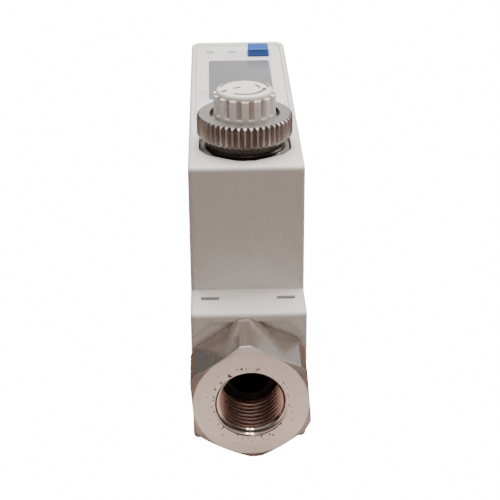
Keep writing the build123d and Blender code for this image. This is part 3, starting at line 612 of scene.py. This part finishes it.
# %% Lock ring
RING_TEETH = 48
ring_low, ring_high = box_mm("lock_ring")
RING_RADIUS = (ring_high.x - ring_low.x) / 2
TOOTH_DEPTH = 0.9
RING_CHAMFER = 0.6
RING_FOOT = 1.0
toothed = bmesh.new()
bmesh.ops.create_cone(
    toothed, cap_ends=True, segments=RING_TEETH * 4, radius1=RING_RADIUS, radius2=RING_RADIUS,
    depth=ring_high.z - ring_low.z + 2,
)
for vert in toothed.verts:
    place = round(math.atan2(vert.co.y, vert.co.x) / math.tau * RING_TEETH * 4) % 4
    if place in (1, 2):
        reach = (RING_RADIUS - TOOTH_DEPTH) / RING_RADIUS
        vert.co.x *= reach
        vert.co.y *= reach
bmesh.ops.translate(toothed, verts=toothed.verts, vec=(0, VALVE_Y, (ring_high.z + ring_low.z) / 2))
ring_turned = turned(
    ((11.7, ring_low.z), (RING_RADIUS - RING_FOOT, ring_low.z),
     (RING_RADIUS + 0.01, ring_low.z + RING_FOOT),
     (RING_RADIUS + 0.01, ring_high.z - RING_CHAMFER), (RING_RADIUS - RING_CHAMFER, ring_high.z),
     (10.45, ring_high.z), (10.2, ring_high.z - 0.25), (10.2, ring_high.z - 1.0), (11.7, ring_high.z - 1.0)),
    RING_TEETH * 4, (0, VALVE_Y, 0),
)
ring_shape = combine(toothed, ring_turned, "INTERSECT")
lock_ring = piece("knurled_lock_ring", ring_shape, "lock_ring", ring_steel, ["lock_ring"], 25)
lock_ring.data.materials.append(ring_underside_shade_steel)
lock_ring.data.materials.append(knurl_root_shade_steel)
lock_ring.data.materials.append(knurl_crest_highlight_steel)
for face in lock_ring.data.polygons:
    reach = math.hypot(face.center.x, face.center.y - VALVE_Y * MM) / MM
    # The roots between the teeth take the darker copy, as painted shade.
    if 13.0 < reach < RING_RADIUS - TOOTH_DEPTH + 0.1 and abs(face.normal.z) < 0.1:
        face.material_index = 2
    # The outer crests of the teeth take the paler copy, as painted highlight.
    if reach > RING_RADIUS - 0.1 and abs(face.normal.z) < 0.1:
        face.material_index = 3
    # The bore and the underside take the dark copy: painted shade under the ring.
    if reach < 11.9 or (face.normal.z < -0.9 and reach < 13.2):
        face.material_index = 1

# %% [markdown]
# ## Neck collar
# A dark steel collar stands round the foot of the threaded neck, on the bonnet's face. It is painted
# shadow: a dark piece put where the lock ring shades the neck. It is turned in one profile with a small foot.

# %% Neck collar
neck_shadow_shape = turned(
    ((11.65, TOP + 0.01), (12.1, TOP + 0.01), (12.15, TOP + 0.15), (12.0, TOP + 0.4), (11.9, TOP + 0.5),
     (11.9, TOP + 2.4), (11.8, TOP + 2.5), (11.65, TOP + 2.5)),
    96, (0, VALVE_Y, 0),
)
piece("neck_shadow_collar", neck_shadow_shape, "housing", neck_shadow_steel)

# %% [markdown]
# ## Adjusting knob
# The knob is moulded: a round cap with fifteen grip ribs, a flange that the lock ring
# presses on, and a hub with a groove for its retainer. The cap is turned in one profile with
# a rounded rim, the ribs are small bevelled blocks joined round it, and the marks on top are
# shallow grooves cut by thin ring sectors and bars.

# %% Adjusting knob
RIBS = 15
RIB_RADIUS = 9.2
RIB_WIDTH = 2.0
RIB_DEPTH = 2.4
CAP_RADIUS = 8.4
GAP_RADIUS = 8.1
knob_low, knob_high = box_mm("knob")
flange_base = TOP + 6.8
rib_top = TOP + 15.9
collar_top = TOP + 10.3
rim = 1.1
rim_arc = [
    (CAP_RADIUS - rim + rim * math.cos(angle), knob_high.z - rim + rim * math.sin(angle))
    for angle in (math.pi / 2 * step / 6 for step in range(7))
]
knob_shape = turned(
    [(5.0, knob_low.z), (7.0, knob_low.z), (7.0, TOP - 2.4), (6.3, TOP - 2.4), (6.3, TOP - 1.3), (7.0, TOP - 1.3),
     (7.0, flange_base), (10.5, flange_base), (10.7, flange_base + 0.2), (10.7, flange_base + 0.8),
     (10.5, flange_base + 1.0), (RIB_RADIUS - 0.02, flange_base + 1.0),
     (RIB_RADIUS - 0.02, collar_top - 0.15),
     (RIB_RADIUS - 0.17, collar_top), (GAP_RADIUS, collar_top), (GAP_RADIUS, rib_top - 0.3),
     (CAP_RADIUS, rib_top)]
    + rim_arc
    + [(0, knob_high.z), (0, TOP + 15.2), (3.7, TOP + 15.2), (3.7, knob_low.z + 13), (5.0, knob_low.z + 13)],
    120, (0, VALVE_Y, 0),
)
ribs = bmesh.new()
for number in range(RIBS):
    rib = block(
        (RIB_DEPTH, RIB_WIDTH, rib_top - flange_base - 0.5),
        (RIB_RADIUS - RIB_DEPTH / 2, 0, (rib_top + flange_base + 0.5) / 2),
    )
    outer = [e for e in rib.edges if all(v.co.x > RIB_RADIUS - 0.1 for v in e.verts)]
    bmesh.ops.bevel(
        rib, geom=outer, offset=0.15, offset_type="OFFSET", segments=3, profile=0.5,
        affect="EDGES", material=-1,
    )
    angle = math.tau * number / RIBS - math.pi / 2
    bmesh.ops.rotate(rib, verts=rib.verts, cent=(0, 0, 0), matrix=Matrix.Rotation(angle, 3, "Z"))
    bmesh.ops.translate(rib, verts=rib.verts, vec=(0, VALVE_Y, 0))
    spare = bpy.data.meshes.new("rib")
    rib.to_mesh(spare)
    rib.free()
    ribs.from_mesh(spare)
    bpy.data.meshes.remove(spare)
knob_shape = combine(knob_shape, ribs)


def groove_arc(radius, width, start, end, depth, steps=48):
    """A cutter for a curved groove in the knob's top, from start to end degrees."""
    shape = bmesh.new()
    low, high = knob_high.z - depth, knob_high.z + 0.5
    corners = [
        shape.verts.new((radius + across, 0, height))
        for across, height in ((-width / 2, low), (width / 2, low), (width / 2, high), (-width / 2, high))
    ]
    first = shape.faces.new(corners)
    bmesh.ops.rotate(
        shape, verts=corners, cent=(0, 0, 0), matrix=Matrix.Rotation(math.radians(start), 3, "Z"),
    )
    swept = bmesh.ops.spin(
        shape, geom=[first], cent=(0, 0, 0), axis=(0, 0, 1), dvec=(0, 0, 0),
        angle=math.radians(end - start), steps=steps,
    )
    print("groove swept", len(swept["geom_last"]))
    bmesh.ops.translate(shape, verts=shape.verts, vec=(0, VALVE_Y, 0))
    return clean(shape)


for arc in ((7.0, 0.95, 0, 178, 0.6), (6.0, 1.2, 238, 356, 0.65), (4.3, 0.8, 350, 404, 0.5)):
    knob_shape = combine(knob_shape, groove_arc(*arc), "DIFFERENCE")
for x, y, length, angle in ((-2.3, 0.2, 2.7, 27), (-6.0, -2.7, 2.2, 38)):
    dash = block((length, 1.3, 1.6), (0, 0, knob_high.z + 0.2), 0.4, 3)
    turned_by = Matrix.Rotation(math.radians(angle), 3, "Z")
    bmesh.ops.rotate(dash, verts=dash.verts, cent=(0, 0, 0), matrix=turned_by)
    bmesh.ops.translate(dash, verts=dash.verts, vec=(x, VALVE_Y + y, 0))
    knob_shape = combine(knob_shape, dash, "DIFFERENCE")
ribbed_knob = piece("ribbed_knob", knob_shape, "knob", knob_plastic, ["knob"], 30)
# The rib gaps and the engraved marks on top take the darker copy, as painted shade in these recesses.
ribbed_knob.data.materials.append(knob_recess_shade_plastic)
for face in ribbed_knob.data.polygons:
    centre = face.center / MM
    reach = math.hypot(centre.x, centre.y - VALVE_Y)
    in_gap = abs(reach - GAP_RADIUS) < 0.15 and collar_top < centre.z < rib_top - 0.2
    in_mark = reach < 7.9 and knob_high.z - 1.0 < centre.z < knob_high.z - 0.15
    if in_gap or in_mark:
        face.material_index = 1

# %% [markdown]
# ## Display panel
# A printed polyester sheet lies in a shallow recess of the roof, with an opening for the
# grey window. Two keys are flush and hardly show, except for their printed marks, and the
# third is a raised blue cap. Plates are boxes with rounded upright edges, and openings are
# cut by slightly larger copies of what goes through them.

# %% Display panel
sheet_low, sheet_high = box_mm("display_sheet")
window_low, window_high = box_mm("display_window")
WINDOW_CORNER = 0.9
sheet_middle = (sheet_low + sheet_high) / 2
window_opening_y = (window_low.y + window_high.y) / 2
window_length = window_high.y - window_low.y - 2.4
window_width = window_high.x - window_low.x - 2.4
sheet_shape = block(sheet_high - sheet_low, sheet_middle, 2.0, 8)
opening = block(
    (window_width + 0.1, window_length + 0.1, 4), (0, window_opening_y, sheet_high.z), WINDOW_CORNER,
)
sheet_shape = combine(sheet_shape, opening, "DIFFERENCE")
KEY_GAP = 0.06
key_boxes = {name: box_mm(name) for name in ("key_up", "key_down", "key_set")}
KEY_FLANGE = 1.1
key_caps = {}
for name, (low, high) in key_boxes.items():
    middle = ((low.x + high.x) / 2, (low.y + high.y) / 2, sheet_high.z)
    grow = 0.28 if name != "key_set" else 0.0
    width, length = high.x - low.x + grow, high.y - low.y - 2 * KEY_FLANGE + grow
    key_caps[name] = (middle, width, length)
    play = KEY_GAP if name != "key_set" else 0.2
    hole = block((width + 2 * play, length + 2 * play, 4), middle, 0.5 if name == "key_set" else 0.8)
    sheet_shape = combine(sheet_shape, hole, "DIFFERENCE")
piece(
    "display_sheet_printed", rounded(sheet_shape, 0.06), "housing", sheet_plastic,
    ["display_sheet"],
)

pane = block((window_width, window_length, 0.7), (0, window_opening_y, window_high.z - 0.35), WINDOW_CORNER)
lower_pane = block(
    (window_width + 2.4, window_length + 2.4, 1.2), (0, window_opening_y, window_low.z + 0.6), 1.5,
)
piece(
    "display_window_pane", rounded(combine(pane, lower_pane), 0.05), "housing", window_plastic,
    ["display_window"],
)

# %% [markdown]
# ## Keys
# Each key is a moulded cap on a flanged block with a stem. The blue cap stands up and has
# soft edges.

# %% Keys


def key_shape(name):
    """Cap, flange and stem of one key."""
    low, high = key_boxes[name]
    (x, y, _), width, length = key_caps[name]
    under = TOP - 2.8
    cap = block((width, length, high.z - under), (x, y, (high.z + under) / 2), 0.5)
    cap = rounded(cap, 0.45 if name == "key_set" else 0.05, 4)
    flange = block((high.x - low.x, high.y - low.y, 1.0), (x, y, under - 0.5), 0.3)
    stem = turned(
        ((0, low.z), (0.8, low.z), (0.9, low.z + 0.1), (0.9, under - 0.5), (0, under - 0.5)), 32, (x, y, 0),
    )
    return combine(combine(cap, flange), stem)


piece("key_cap_up", key_shape("key_up"), "key_up", sheet_plastic, ["key_up"])
piece("key_cap_down", key_shape("key_down"), "key_down", sheet_plastic, ["key_down"])
piece("key_cap_set", key_shape("key_set"), "key_set", blue_plastic, ["key_set"])

# %% [markdown]
# ## Printed marks
# The flush keys carry a small grey square each with a fine line below it. The ink is a
# film a few hundredths of a millimetre thick, so each mark is a thin plate on its key.

# %% Printed marks
INK = 0.03
for name in ("key_up", "key_down"):
    (x, y, _), width, length = key_caps[name]
    top = key_boxes[name][1].z + INK / 2
    square = block((2.9, 3.5, INK), (x, y + 1.7, top), 0.3)
    piece(f"mark_square_{name}", square, name, mark_ink)
    line = block((3.2, 0.35, INK), (x, y - 2.6, top), 0.1)
    piece(f"mark_line_{name}", line, name, mark_ink)
patch = block((3.2, 9.2, INK), (-12.6, 2.45, sheet_high.z + INK / 2), 0.3)
piece("mark_patch_panel", patch, "housing", pale_ink)

# %% [markdown]
# ## Plug-in connector
# The cable plug screws onto a nickel-plated shell in the back wall. Its metric thread is
# swept like the pipe thread, but stands outside the shell, and the socket is bored into it.

# %% Plug-in connector
shell_low, shell_high = box_mm("connector_shell")
CONNECTOR_HEIGHT = (shell_low.z + shell_high.z) / 2
WALL_BACK = box_mm("upper_case")[1].y
SHELL_RADIUS = 5.95
FLANGE_FACE = WALL_BACK + 2.8
shell_shape = turned(
    ((4.85, shell_low.y), (SHELL_RADIUS, shell_low.y), (SHELL_RADIUS, WALL_BACK + 0.8), (7.7, WALL_BACK + 0.8),
     (8.0, WALL_BACK + 1.1), (8.0, FLANGE_FACE - 0.3), (7.7, FLANGE_FACE), (5.3, FLANGE_FACE),
     (5.3, shell_high.y - 0.4), (5.1, shell_high.y), (4.85, shell_high.y)),
    64, (0, 0, CONNECTOR_HEIGHT), "Y",
)
male_thread = thread_rod(5.2, SHELL_RADIUS, 1.0, shell_high.y - FLANGE_FACE - 0.9, 48)
core = turned(((0, -1), (4.9, -1), (4.9, 12), (0, 12)), 48)
male_thread = combine(male_thread, core, "DIFFERENCE")
bmesh.ops.rotate(male_thread, verts=male_thread.verts, cent=(0, 0, 0), matrix=ALONG_FLOW)
bmesh.ops.translate(male_thread, verts=male_thread.verts, vec=(0, FLANGE_FACE + 0.5, CONNECTOR_HEIGHT))
shell_shape = combine(shell_shape, male_thread)
piece("connector_shell_threaded", shell_shape, "housing", nickel, ["connector_shell"], 30)

# %% [markdown]
# ## Case screws
# Four pan head screws hold the two halves of the case from below. Each head has a rounded
# edge and a cross recess, cut by two crossed tapered bars.

# %% Case screws
screws_low, screws_high = box_mm("case_screws")
SCREW_X, SCREW_Y = 12.4, 50.5
HEAD_FACE = screws_low.z
screw = turned(
    ((0, HEAD_FACE), (2.2, HEAD_FACE), (2.62, HEAD_FACE + 0.18), (2.8, HEAD_FACE + 0.6), (2.8, HEAD_FACE + 2.2),
     (1.45, HEAD_FACE + 2.2), (1.45, screws_high.z - 0.6), (0.9, screws_high.z), (0, screws_high.z)),
    40,
)
for size in ((2.9, 0.75, 2.4), (0.75, 2.9, 2.4)):
    bar = block(size, (0, 0, HEAD_FACE))
    for vert in bar.verts:
        if vert.co.z > HEAD_FACE:
            vert.co.x *= 0.55
            vert.co.y *= 0.55
    screw = combine(screw, bar, "DIFFERENCE")
for number, (x, y) in enumerate(((-1, -1), (1, -1), (-1, 1), (1, 1))):
    copy = screw.copy()
    bmesh.ops.rotate(copy, verts=copy.verts, cent=(0, 0, 0), matrix=Matrix.Rotation(0.5 + 0.9 * number, 3, "Z"))
    bmesh.ops.translate(copy, verts=copy.verts, vec=(x * SCREW_X, y * SCREW_Y, 0))
    stands_for = ["case_screws"] if number == 0 else ()
    piece(f"case_screw_{number + 1}", copy, "housing", screw_steel, stands_for, 30)

# %% [markdown]
# ## Finishes of the other parts
# The remaining engineering parts already have the right shape. Each takes its material by
# its slot in the record, so a repaint of the record and of the model agree.

# %% Finishes of the engineering parts
finish_of_slot = {
    "housing": case_plastic, "sheet": sheet_plastic, "window": window_plastic, "key_white": sheet_plastic,
    "key_blue": blue_plastic, "knob": knob_plastic, "stainless": turned_steel, "clip_steel": clip_steel,
    "black_plastic": black_plastic, "brass": brass, "nickel": nickel, "seal_rubber": seal_rubber,
    "board": board_green, "lcd_glass": display_glass, "screw_steel": screw_steel, "gold_pin": gold,
}
slot_of_node = {part["node"]: part["material_slot"] for part in frame["record"]["subparts"]}
for node, made in frame["nodes"].items():
    finish = finish_of_slot[slot_of_node[node]]
    made.data.materials.clear()
    made.data.materials.append(finish)
print("parts finished:", len(slot_of_node))

# %% [markdown]
# ## Studio
# The instrument stands on a pale seamless floor under a wide soft light from above, with
# weak fill from the front, so the roof and ledges are bright and the upright walls fall
# into a soft warm shade.

# %% Studio floor and lights


def seen_and_lit(owner, seen, lit):
    """Mixes two shaders: the camera sees the first and the object is lit by the second."""
    path = add(owner, "ShaderNodeLightPath")
    mixed = add(owner, "ShaderNodeMixShader", links={"Fac": path.outputs["Is Camera Ray"]})
    owner.node_tree.links.new(lit.outputs[0], mixed.inputs[1])
    owner.node_tree.links.new(seen.outputs[0], mixed.inputs[2])
    return mixed


WHITE_GLOW = 16.0
FLOOR_SHADE = "5E4C44"
CARD_SHADE = "DACBC2"
WALL_SHADE = "493B35"
ROOM_LIGHT = 0.62
LAMPS = (
    ("overhead_light", (0, 225, 900), (0, 20, 60), (800, 800), 18.0),
    ("front_lamp_middle", (-10, -330, 640), (0, -90, 30), (45, 110), 0.5, "FFECE2"),
    ("front_lamp_right", (120, -320, 620), (0, -90, 30), (35, 110), 0.35, "FFECE2"),
    ("front_lamp_low", (-20, -640, 200), (0, -90, 20), (40, 160), 0.26, "FFECE2"),
    ("right_light", (800, 250, 500), (0, 0, 60), (400, 500), 3.6),
)
floor_shape = bmesh.new()
bmesh.ops.create_grid(floor_shape, x_segments=1, y_segments=1, size=6.0)
floor = as_object(floor_shape, "studio_floor")
floor.location.z = -0.0005
card_shape = bmesh.new()
bmesh.ops.create_grid(card_shape, x_segments=1, y_segments=1, size=0.5)
bmesh.ops.scale(card_shape, verts=card_shape.verts, vec=(0.07, 0.07, 1))
card = as_object(card_shape, "reflector_card")
card.location = (0, -0.137, -0.0002)


def backdrop_paper(name, shade):
    """Paper that the camera sees as pure white and that returns shade to the object."""
    material, _ = new_material(name)
    paper = add(material, "ShaderNodeBsdfDiffuse", inputs={"Color": linear(shade)})
    glow = add(material, "ShaderNodeEmission", inputs={"Color": linear("FFFFFF"), "Strength": WHITE_GLOW})
    backdrop = seen_and_lit(material, glow, paper)
    add(material, "ShaderNodeOutputMaterial", links={"Surface": backdrop.outputs["Shader"]})
    return material


floor.data.materials.append(backdrop_paper("Paper_backdrop_floor", FLOOR_SHADE))
card.data.materials.append(backdrop_paper("Paper_reflector_card", CARD_SHADE))


def softbox(name, place, target, size, power, colour="FFFFFF"):
    """A rectangular area light that points at target, in millimetres and watts."""
    data = bpy.data.lights.new(name, "AREA")
    data.shape = "RECTANGLE"
    data.size, data.size_y = size[0] * MM, size[1] * MM
    data.energy = power
    data.color = linear(colour)[:3]
    light = bpy.data.objects.new(name, data)
    bpy.context.collection.objects.link(light)
    light.location = Vector(place) * MM
    aim = Vector(target) * MM - light.location
    light.rotation_mode = "QUATERNION"
    light.rotation_quaternion = aim.to_track_quat("-Z", "Y")
    return light


for lamp in LAMPS:
    softbox(*lamp)

world = bpy.data.worlds.new("studio_world")
bpy.context.scene.world = world
world.use_nodes = True
world.node_tree.nodes.clear()
direction = add(world, "ShaderNodeTexCoord").outputs["Generated"]
compass = add(world, "ShaderNodeSeparateXYZ", links={"Vector": direction})
rise = add(
    world, "ShaderNodeMapRange",
    inputs={"From Min": 0.3, "From Max": 0.9}, links={"Value": compass.outputs["Z"]},
)
back_right = add(
    world, "ShaderNodeVectorMath", {"operation": "DOT_PRODUCT"}, {1: (0.5, 0.85, 0)}, {0: direction},
)
behind = add(
    world, "ShaderNodeMapRange",
    inputs={"From Min": 0.35, "From Max": 0.9}, links={"Value": back_right.outputs["Value"]},
)
bright = add(
    world, "ShaderNodeMath", {"operation": "MAXIMUM"},
    links={0: rise.outputs["Result"], 1: behind.outputs["Result"]},
)
sky = add(world, "ShaderNodeMix", {"data_type": "RGBA"}, links={"Factor": bright.outputs["Value"]})
sky.inputs["A"].default_value = linear(WALL_SHADE)
sky.inputs["B"].default_value = linear("FFFFFF")
room = add(
    world, "ShaderNodeBackground", inputs={"Strength": ROOM_LIGHT}, links={"Color": sky.outputs["Result"]},
)
white = add(world, "ShaderNodeBackground", inputs={"Color": linear("FFFFFF"), "Strength": WHITE_GLOW})
surround = seen_and_lit(world, white, room)
add(world, "ShaderNodeOutputWorld", links={"Surface": surround.outputs["Shader"]})
print("lights:", len(bpy.data.lights))
